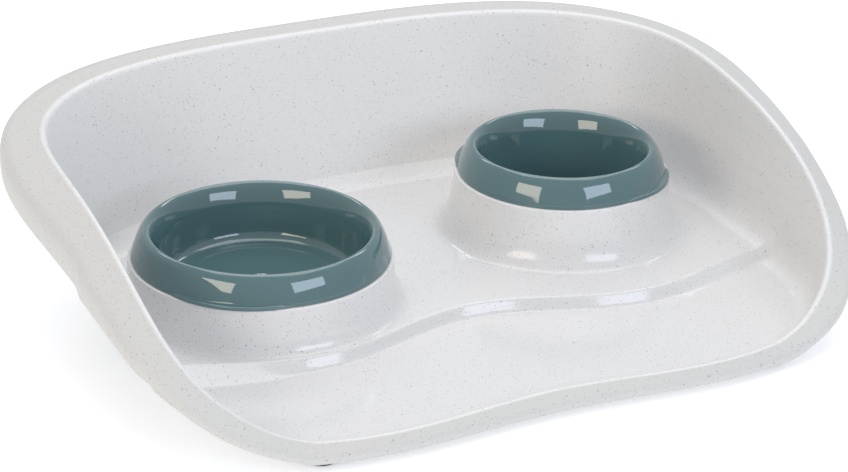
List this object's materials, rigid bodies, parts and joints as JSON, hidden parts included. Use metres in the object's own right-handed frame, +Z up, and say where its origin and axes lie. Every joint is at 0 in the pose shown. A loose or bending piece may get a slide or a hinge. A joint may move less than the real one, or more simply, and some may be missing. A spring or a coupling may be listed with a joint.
{
  "type": "double pet bowl",
  "caption": "Raised feeding tray with a high splash wall, and two lift-out bowls, one wide and shallow and one deep, on round pedestals",
  "frame": {"origin": "on the table, in the middle of the tray's outline from side to side and from front to back", "axes": "+X along the tray's front to the deep bowl's side, +Y from the low front lip to the high back wall, +Z up"},
  "size_m": [0.4786, 0.3742, 0.1123],
  "materials": {
    "tray_plastic": "off-white moulded plastic with fine grey specks, glossy on the deck and satin on the rim",
    "bowl_plastic": "glossy slate teal moulded plastic",
    "foot_rubber": "matt black rubber"
  },
  "bodies": {
    "stand": {"tray": "tray_plastic", "foot_front_left": "foot_rubber", "foot_front_right": "foot_rubber", "foot_back_left": "foot_rubber", "foot_back_right": "foot_rubber"},
    "wide_dish": {"large_bowl": "bowl_plastic"},
    "deep_dish": {"small_bowl": "bowl_plastic"}
  },
  "joints": [
    {"name": "large_bowl_lift", "type": "slide", "parent": "stand", "child": "wide_dish", "axis": [0, 0, 1], "range_m": [0, 0.1]},
    {"name": "small_bowl_lift", "type": "slide", "parent": "stand", "child": "deep_dish", "axis": [0, 0, 1], "range_m": [0, 0.1]}
  ]
}
